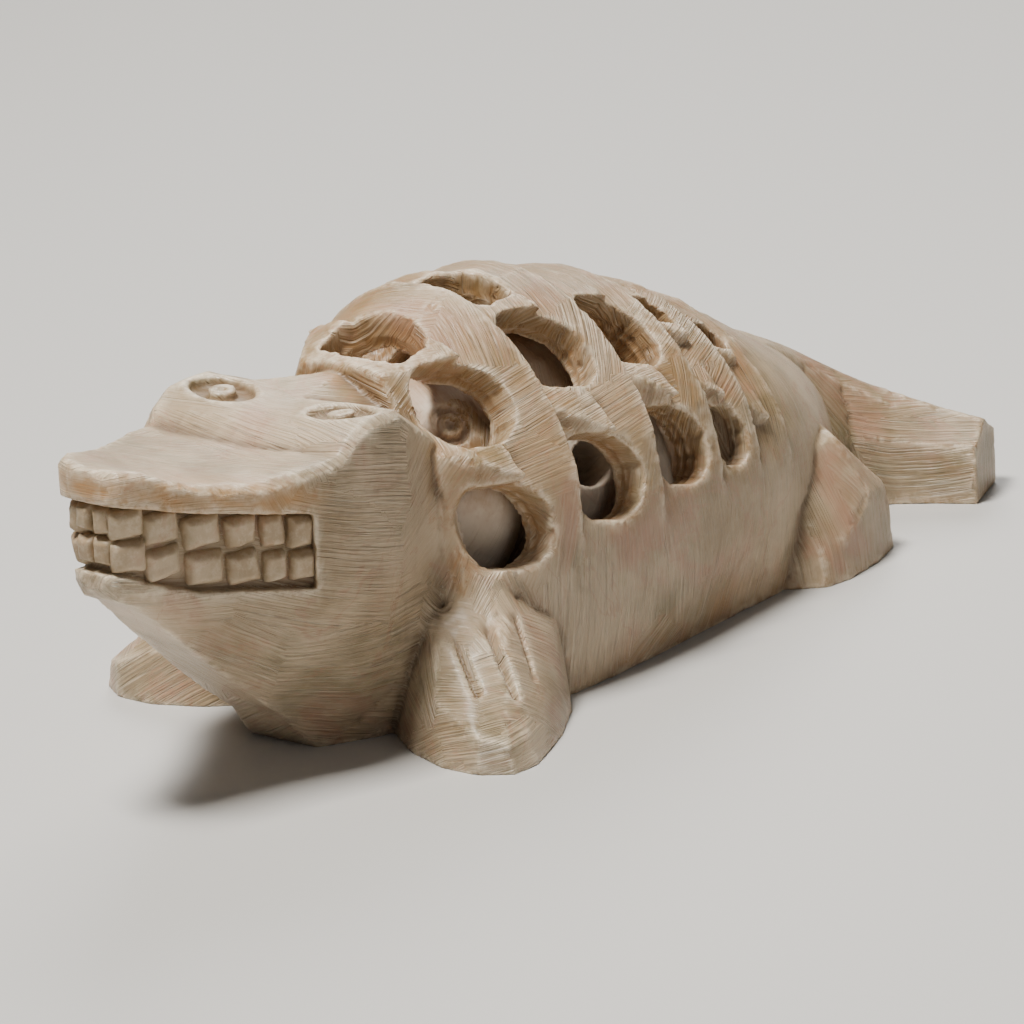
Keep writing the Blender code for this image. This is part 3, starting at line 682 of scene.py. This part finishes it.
def set_inputs(modifier, **values):
    """Set a Geometry Nodes modifier's inputs by their sockets' identifiers."""
    for item in modifier.node_group.interface.items_tree:
        if item.item_type == "SOCKET" and item.in_out == "INPUT" and item.name in values:
            modifier[item.identifier] = values[item.name]


outer_stone = bpy.data.materials.new("waxed_soapstone")
inner_stone = bpy.data.materials.new("bare_soapstone_painted_lighter")
tooth_stone = bpy.data.materials.new("tooth_soapstone")
cut_teeth = teeth.modifiers.new("cut_teeth", "NODES")
cut_teeth.node_group = tooth_tree()
set_inputs(cut_teeth, Rounding=0.07, Taper=0.05, Bevel=0.26, Unevenness=0.0006, Seed=3.0, Stone=tooth_stone)
bake_modifiers(teeth)
teeth.data.calc_loop_triangles()
print("teeth:", len(teeth.data.loop_triangles), "triangles")


# %% [markdown]
# The teeth are part of the same block, so they join the carving's mesh. Faces deep under the
# shell get the bare stone, whose paler colour is partly painted light, the rest the waxed one.

# %% One carving, three finishes
def join_into(target, other, slots):
    work = bmesh.new()
    work.from_mesh(target.data)
    first = len(work.faces)
    work.from_mesh(other.data)
    work.faces.ensure_lookup_table()
    for face in work.faces[first:]:
        face.material_index = slots.index(tooth_stone)
    bmesh.ops.recalc_face_normals(work, faces=work.faces[first:])
    work.to_mesh(target.data)
    work.free()
    bpy.data.objects.remove(other)


carving.data.materials.clear()
finishes = [outer_stone, inner_stone, tooth_stone]
for finish in finishes:
    carving.data.materials.append(finish)
centres = np.empty(len(carving.data.polygons) * 3)
carving.data.polygons.foreach_get("center", centres)
under = depth_below_back(centres.reshape(-1, 3)) > 4.4
carving.data.polygons.foreach_set("material_index", under.astype(np.int32))
join_into(carving, teeth, finishes)
carving.data.polygons.foreach_set("use_smooth", [True] * len(carving.data.polygons))
carving.data.update()
carving.data.calc_loop_triangles()
print("whole carving:", len(carving.data.loop_triangles), "triangles,", int(under.sum()), "faces of bare stone")

# %% Hand over the piece
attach(carving, "root")
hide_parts("crocodile")


# %% [markdown]
# Soapstone is a soft stone of talc, cream to beige, with clouds of olive green, pink and rusty
# brown and thin veins. All three finishes share that, so the clouds are one node group, placed
# in each material with its own values. It puts out a colour and nothing else.

# %% Helpers for shader groups
def shader_group(name, inputs, outputs):
    tree = bpy.data.node_groups.new(name, "ShaderNodeTree")
    for label, kind, value in inputs:
        add_input(tree, label, kind, value)
    for label, kind in outputs:
        tree.interface.new_socket(label, in_out="OUTPUT", socket_type=kind)
    return tree, add_node(tree, "NodeGroupInput", (-1200, 0)), add_node(tree, "NodeGroupOutput", (900, 0))


def noise_node(tree, at, scale, detail=4.0, roughness=0.55, distortion=0.0):
    node = add_node(tree, "ShaderNodeTexNoise")
    node.inputs["Scale"].default_value = scale
    node.inputs["Detail"].default_value = detail
    node.inputs["Roughness"].default_value = roughness
    node.inputs["Distortion"].default_value = distortion
    tree.links.new(at, node.inputs["Vector"])
    return node.outputs["Fac"]


def ramp(tree, value, low, high, top=1.0, bottom=0.0):
    """Turn a value between low and high into one between bottom and top, smoothly."""
    node = add_node(tree, "ShaderNodeMapRange", interpolation_type="SMOOTHSTEP")
    node.inputs["From Min"].default_value = low
    node.inputs["From Max"].default_value = high
    node.inputs["To Min"].default_value = bottom
    node.inputs["To Max"].default_value = top
    tree.links.new(value, node.inputs["Value"])
    return node.outputs["Result"]


def blend(tree, amount, under, over):
    node = add_node(tree, "ShaderNodeMix", data_type="RGBA")
    sockets = [node.inputs[0]] + [s for s in node.inputs if s.type == "RGBA"]
    for socket, value in zip(sockets, (amount, under, over)):
        if isinstance(value, bpy.types.NodeSocket):
            tree.links.new(value, socket)
        else:
            socket.default_value = value
    return [s for s in node.outputs if s.type == "RGBA"][0]


def shifted(tree, at, offset):
    return vector_math(tree, "ADD", at, offset)


# %% Clouds and veins of the stone
def stone_clouds():
    tree, source, sink = shader_group("stone_clouds", (
        ("Place", "NodeSocketVector", None),
        ("Ground", "NodeSocketColor", (0.37, 0.265, 0.155, 1.0)),
        ("Pale", "NodeSocketColor", (0.52, 0.395, 0.26, 1.0)),
        ("Olive", "NodeSocketColor", (0.20, 0.155, 0.07, 1.0)),
        ("Pink", "NodeSocketColor", (0.40, 0.215, 0.135, 1.0)),
        ("Rust", "NodeSocketColor", (0.21, 0.095, 0.035, 1.0)),
        ("Cloud Strength", "NodeSocketFloat", 1.0),
    ), (("Color", "NodeSocketColor"),))
    at = source.outputs["Place"]
    strength = source.outputs["Cloud Strength"]

    def times(value):
        return plain_math(tree, "MULTIPLY", value, strength)

    pale = ramp(tree, noise_node(tree, at, 34.0, 6.0, 0.62), 0.38, 0.62)
    colour = blend(tree, pale, source.outputs["Ground"], source.outputs["Pale"])
    olive_field = noise_node(tree, shifted(tree, at, (0.31, 0.0, 0.17)), 55.0, 6.0, 0.6, 0.4)
    olive = ramp(tree, olive_field, 0.47, 0.70, 0.85)
    colour = blend(tree, times(olive), colour, source.outputs["Olive"])
    pink_field = noise_node(tree, shifted(tree, at, (0.0, 0.53, 0.29)), 70.0, 6.0, 0.62, 0.6)
    pink = ramp(tree, pink_field, 0.50, 0.70, 0.8)
    colour = blend(tree, times(pink), colour, source.outputs["Pink"])
    rust_field = noise_node(tree, shifted(tree, at, (0.71, 0.11, 0.0)), 48.0, 7.0, 0.66, 0.8)
    rust = ramp(tree, rust_field, 0.56, 0.74, 0.8)
    colour = blend(tree, times(rust), colour, source.outputs["Rust"])
    vein_field = noise_node(tree, shifted(tree, at, (0.13, 0.37, 0.91)), 42.0, 5.0, 0.6, 1.2)
    line = plain_math(tree, "ABSOLUTE", plain_math(tree, "SUBTRACT", vein_field, 0.5))
    vein = ramp(tree, line, 0.0, 0.016, 0.0, 0.45)
    colour = blend(tree, times(vein), colour, source.outputs["Pink"])
    speck = ramp(tree, noise_node(tree, at, 900.0, 3.0, 0.7), 0.66, 0.80, 0.35)
    colour = blend(tree, times(speck), colour, source.outputs["Rust"])
    tree.links.new(colour, sink.inputs["Color"])
    return tree


clouds_group = stone_clouds()
print("stone clouds:", len(clouds_group.nodes), "nodes")


# %% [markdown]
# A carver shapes soapstone with files, and each stroke leaves fine parallel lines. The lines
# change direction from one filed patch to the next: along the cheeks, down the flanks, across
# the top. A UV map made here gives every patch its own direction. Each face joins the patch
# whose middle is nearest and faces the same way, and the map measures along and across its lines.

# %% Directions of the file
PATCHES = 230


def patch_direction(middle, normal):
    """Direction of the file strokes on a patch, in its surface."""
    x, y, z = middle[0] / MM, middle[1] / MM - Y_SHIFT, middle[2] / MM
    if abs(normal[2]) > 0.72:
        main, spread = Vector((1.0, 0.25, 0.0)), 40.0
    elif y < 7.0:
        main, spread = Vector((0.0, 1.0, -0.10)), 14.0
    elif z < 24.0 and y < 22.0:
        main, spread = Vector((0.0, 1.0, 0.9)), 22.0
    elif z < 25.0:
        main, spread = Vector((0.0, 0.1, 1.0)), 12.0
    else:
        main, spread = Vector((0.0, 0.7, 0.7)), 50.0
    normal = Vector(normal)
    main = main - normal * main.dot(normal)
    if main.length < 0.05:
        main = normal.orthogonal()
    turn = Matrix.Rotation(math.radians(chance.uniform(-spread, spread)), 3, normal)
    return (turn @ main).normalized()


def face_array(mesh, name):
    out = np.empty(len(mesh.polygons) * 3)
    mesh.polygons.foreach_get(name, out)
    return out.reshape(-1, 3)


def file_mark_map(mesh):
    middles, normals = face_array(mesh, "center"), face_array(mesh, "normal")
    chosen = chance.choice(len(middles), PATCHES, replace=False)
    seeds, facing = middles[chosen], normals[chosen]
    best = np.full(len(middles), 1e9)
    owner = np.zeros(len(middles), dtype=np.int64)
    for k in range(PATCHES):
        gap = np.linalg.norm(middles - seeds[k], axis=1) / MM
        gap += 12.0 * (1.0 - normals @ facing[k])
        nearer = gap < best
        best[nearer] = gap[nearer]
        owner[nearer] = k
    along = np.array([patch_direction(seeds[k], facing[k]) for k in range(PATCHES)])
    across = np.cross(facing, along)
    across /= np.linalg.norm(across, axis=1)[:, None]
    points = coordinates(mesh)
    corners = np.empty(len(mesh.loops), dtype=np.int64)
    mesh.loops.foreach_get("vertex_index", corners)
    sides = np.empty(len(mesh.polygons), dtype=np.int64)
    mesh.polygons.foreach_get("loop_total", sides)
    patch = np.repeat(owner, sides)
    place = (points[corners] - seeds[patch]) / MM
    u = np.einsum("ij,ij->i", place, along[patch]) + patch * 37.0
    v = np.einsum("ij,ij->i", place, across[patch]) + patch * 11.0
    layer = mesh.uv_layers.new(name="file_marks")
    layer.data.foreach_set("uv", np.column_stack((u, v)).ravel())


file_mark_map(carving.data)
print(PATCHES, "filed patches")


# %% [markdown]
# The lines themselves are noise stretched thirty to forty times along the stroke. Three sizes of
# line are mixed, fine and middling ones everywhere and a few deeper scratches, because a file
# never cuts evenly.
# The group puts out a height, for the bump, and a mask where the cut stone looks powdery.

# %% File marks
def file_marks():
    tree, source, sink = shader_group("file_marks", (
        ("Place", "NodeSocketVector", None),
        ("Amount Place", "NodeSocketVector", None),
    ), (("Height", "NodeSocketFloat"), ("Powder", "NodeSocketFloat")))
    at = source.outputs["Place"]

    def lines(along, across, low, high, offset):
        size = vector_math(tree, "MULTIPLY", shifted(tree, at, offset), (along, across, 1.0))
        return ramp(tree, noise_node(tree, size, 1.0, 3.0, 0.6), low, high)

    fine = lines(0.08, 3.2, 0.38, 0.64, (0.0, 0.0, 3.0))
    middle = lines(0.05, 1.5, 0.42, 0.66, (40.0, 9.0, 5.0))
    deep = lines(0.05, 1.9, 0.58, 0.68, (11.0, 4.0, 8.0))
    patchy = ramp(tree, noise_node(tree, source.outputs["Amount Place"], 60.0, 3.0), 0.38, 0.62, 1.0, 0.35)
    def share(value, amount):
        return plain_math(tree, "MULTIPLY", value, amount)

    height = plain_math(tree, "ADD", share(fine, 0.5), share(middle, 0.5))
    height = plain_math(tree, "SUBTRACT", height, share(deep, 0.9))
    tree.links.new(share(height, patchy), sink.inputs["Height"])
    powder = plain_math(tree, "ADD", share(fine, 0.45), share(deep, 0.8))
    tree.links.new(share(powder, patchy), sink.inputs["Powder"])
    return tree


marks_group = file_marks()
print("file marks:", len(marks_group.nodes), "nodes")


# %% [markdown]
# Hands and the file lighten every arris. Creases and the stone under the shell are darkened
# with painted shade. This group takes the stone's colour and the numbers kept on the mesh, and
# gives back the worn and shaded colour and the roughness.

# %% Wear and painted shade
def wear_and_painted_shade():
    tree, source, sink = shader_group("wear_and_painted_shade", (
        ("Color", "NodeSocketColor", (0.5, 0.4, 0.3, 1.0)),
        ("Place", "NodeSocketVector", None),
        ("Wear", "NodeSocketFloat", 0.0),
        ("Hollow", "NodeSocketFloat", 0.0),
        ("Powder", "NodeSocketFloat", 0.0),
        ("Rubbed", "NodeSocketColor", (0.80, 0.73, 0.60, 1.0)),
        ("Shade", "NodeSocketColor", (0.30, 0.20, 0.12, 1.0)),
        ("Roughness", "NodeSocketFloat", 0.4),
    ), (("Color", "NodeSocketColor"), ("Roughness", "NodeSocketFloat")))
    at = source.outputs["Place"]
    broken = ramp(tree, noise_node(tree, at, 520.0, 4.0, 0.7), 0.32, 0.62)
    worn = plain_math(tree, "MULTIPLY", source.outputs["Wear"], broken)
    # Painted shade: creases and the stone under the shell are pulled towards the Shade colour.
    shade = plain_math(tree, "MULTIPLY", source.outputs["Hollow"], 0.75)
    colour = blend(tree, shade, source.outputs["Color"], source.outputs["Shade"])
    colour = blend(tree, plain_math(tree, "MULTIPLY", source.outputs["Powder"], 0.55), colour,
                   source.outputs["Rubbed"])
    colour = blend(tree, plain_math(tree, "MULTIPLY", worn, 0.75), colour, source.outputs["Rubbed"])
    tree.links.new(colour, sink.inputs["Color"])
    rough = plain_math(tree, "ADD", source.outputs["Roughness"],
                       plain_math(tree, "MULTIPLY", source.outputs["Hollow"], 0.16))
    rough = plain_math(tree, "ADD", rough, plain_math(tree, "MULTIPLY", source.outputs["Powder"], 0.14))
    tree.links.new(rough, sink.inputs["Roughness"])
    return tree


wear_group = wear_and_painted_shade()
print("wear and painted shade:", len(wear_group.nodes), "nodes")


# %% [markdown]
# Each finish puts the groups together in its own way. The waxed stone outside is the warmest
# and glossiest, with ochre rims on the snout and the scales. Under the shell the stone is bare,
# rougher and paler; the paler colour is partly that of bare stone and partly painted light for
# the light that reaches in through the openings. On the teeth the clouds are weaker and there
# are no long strokes.

# %% Building a stone finish
GRAIN_HEIGHT = 0.03


def group_node(tree, group, place=(0, 0), **values):
    node = add_node(tree, "ShaderNodeGroup", place, node_tree=group)
    for name, value in values.items():
        socket = node.inputs[name.replace("_", " ")]
        if isinstance(value, bpy.types.NodeSocket):
            tree.links.new(value, socket)
        else:
            socket.default_value = value
    return node


def number_from(tree, name):
    node = add_node(tree, "ShaderNodeAttribute", attribute_name=name)
    return node.outputs["Fac"]


def stone_finish(material, ground, pale, clouds, roughness, rubbed, shade, bump, with_marks, ochre_tint=None,
                 wall_tint=None):
    material.use_nodes = True
    tree = material.node_tree
    shader = tree.nodes["Principled BSDF"]
    at = add_node(tree, "ShaderNodeTexCoord", (-1600, 0)).outputs["Object"]
    stone = group_node(tree, clouds_group, (-1200, 200), Place=at, Ground=ground, Pale=pale,
                       Cloud_Strength=clouds)
    colour = stone.outputs["Color"]
    if ochre_tint is not None:
        stain = ramp(tree, noise_node(tree, at, 260.0, 4.0), 0.30, 0.62, 0.95, 0.35)
        amount = plain_math(tree, "MULTIPLY", number_from(tree, "ochre"), stain)
        colour = blend(tree, amount, colour, ochre_tint)
    if wall_tint is not None:
        warm = ramp(tree, noise_node(tree, at, 180.0, 4.0), 0.25, 0.65, 0.75)
        amount = plain_math(tree, "MULTIPLY", number_from(tree, "wall"), warm)
        colour = blend(tree, amount, colour, wall_tint)
    grain = noise_node(tree, at, 1500.0, 3.0, 0.7)
    if with_marks:
        lines = add_node(tree, "ShaderNodeUVMap", (-1600, -300), uv_map="file_marks").outputs["UV"]
        marks = group_node(tree, marks_group, (-1200, -200), Place=lines, Amount_Place=at)
        powder, height = marks.outputs["Powder"], marks.outputs["Height"]
        wear, hollow = number_from(tree, "wear"), number_from(tree, "hollow")
    else:
        powder = ramp(tree, noise_node(tree, at, 900.0, 4.0, 0.7), 0.40, 0.75, 0.7)
        height = noise_node(tree, at, 700.0, 4.0, 0.6)
        wear, hollow = 0.0, 0.0
    aged = group_node(tree, wear_group, (-400, 200), Color=colour, Place=at, Wear=wear, Hollow=hollow,
                      Powder=powder, Rubbed=rubbed, Shade=shade, Roughness=roughness)
    tree.links.new(aged.outputs["Color"], shader.inputs["Base Color"])
    tree.links.new(aged.outputs["Roughness"], shader.inputs["Roughness"])
    coarse = add_node(tree, "ShaderNodeBump", (-300, -300))
    coarse.inputs["Strength"].default_value = 1.0
    coarse.inputs["Distance"].default_value = bump * MM
    tree.links.new(height, coarse.inputs["Height"])
    fine = add_node(tree, "ShaderNodeBump", (-100, -300))
    fine.inputs["Strength"].default_value = 0.5
    fine.inputs["Distance"].default_value = GRAIN_HEIGHT * MM
    tree.links.new(grain, fine.inputs["Height"])
    tree.links.new(coarse.outputs["Normal"], fine.inputs["Normal"])
    tree.links.new(fine.outputs["Normal"], shader.inputs["Normal"])
    shader.inputs["Specular IOR Level"].default_value = 0.5
    shader.inputs["Subsurface Weight"].default_value = 0.05
    shader.inputs["Subsurface Scale"].default_value = 0.001
    return shader


# %% The three finishes
WARM_PALE = (0.52, 0.395, 0.26, 1.0)
RUBBED = (0.78, 0.66, 0.49, 1.0)
# Colour of the painted shade in creases and under the shell.
SHADE = (0.13, 0.075, 0.035, 1.0)
WALL_TINT = (0.34, 0.18, 0.07, 1.0)
shader = stone_finish(outer_stone, (0.285, 0.195, 0.10, 1.0), WARM_PALE, 1.0, 0.36, RUBBED, SHADE, 0.26, True,
                      (0.43, 0.205, 0.05, 1.0), WALL_TINT)
shader.inputs["Coat Weight"].default_value = 0.12
shader.inputs["Coat Roughness"].default_value = 0.25
# Bare stone under the shell, painted paler partly to stand for the light reaching in; its shade colour is
# painted shade.
stone_finish(inner_stone, (0.62, 0.51, 0.40, 1.0), (0.76, 0.66, 0.54, 1.0), 0.4, 0.55,
             (0.66, 0.55, 0.43, 1.0), (0.18, 0.11, 0.06, 1.0), 0.10, True, None, WALL_TINT)
stone_finish(tooth_stone, (0.34, 0.24, 0.135, 1.0), WARM_PALE, 0.7, 0.42, RUBBED, SHADE, 0.12, False)
print("finishes:", [material.name for material in finishes])

# %% [markdown]
# The floor is plain and pale. The light is that of a small studio: one soft lamp almost overhead
# and a little in front, which rakes over the file marks, and two weaker ones from the side and
# from behind.

# %% Floor
floor_mesh = bpy.data.meshes.new("floor")
floor_mesh.from_pydata([(-3, -3, 0), (3, -3, 0), (3, 3, 0), (-3, 3, 0)], [], [(0, 1, 2, 3)])
floor = bpy.data.objects.new("floor", floor_mesh)
bpy.context.scene.collection.objects.link(floor)
pale = bpy.data.materials.new("pale_floor")
pale.use_nodes = True
pale.node_tree.nodes["Principled BSDF"].inputs["Base Color"].default_value = (0.56, 0.55, 0.53, 1.0)
pale.node_tree.nodes["Principled BSDF"].inputs["Roughness"].default_value = 0.55
floor_mesh.materials.append(pale)


# %% Lights
def soft_light(name, place, target, size, power, colour):
    data = bpy.data.lights.new(name, "AREA")
    data.shape = "SQUARE"
    data.size = size
    data.energy = power
    data.color = colour
    lamp = bpy.data.objects.new(name, data)
    lamp.location = place
    lamp.rotation_euler = (Vector(target) - Vector(place)).to_track_quat("-Z", "Y").to_euler()
    bpy.context.scene.collection.objects.link(lamp)
    return lamp


soft_light("key", (-0.08, -0.20, 0.77), (0.0, 0.0, 0.02), 0.20, 12.0, (1.0, 0.965, 0.91))
soft_light("side", (0.70, -0.20, 0.30), (0.0, 0.0, 0.02), 0.35, 0.5, (1.0, 0.97, 0.93))
soft_light("back", (-0.30, 0.50, 0.45), (0.0, 0.0, 0.03), 0.35, 3.0, (1.0, 0.98, 0.95))
world = bpy.data.worlds.new("studio")
world.use_nodes = True
world.node_tree.nodes["Background"].inputs["Color"].default_value = (0.85, 0.87, 0.9, 1.0)
world.node_tree.nodes["Background"].inputs["Strength"].default_value = 0.08
bpy.context.scene.world = world
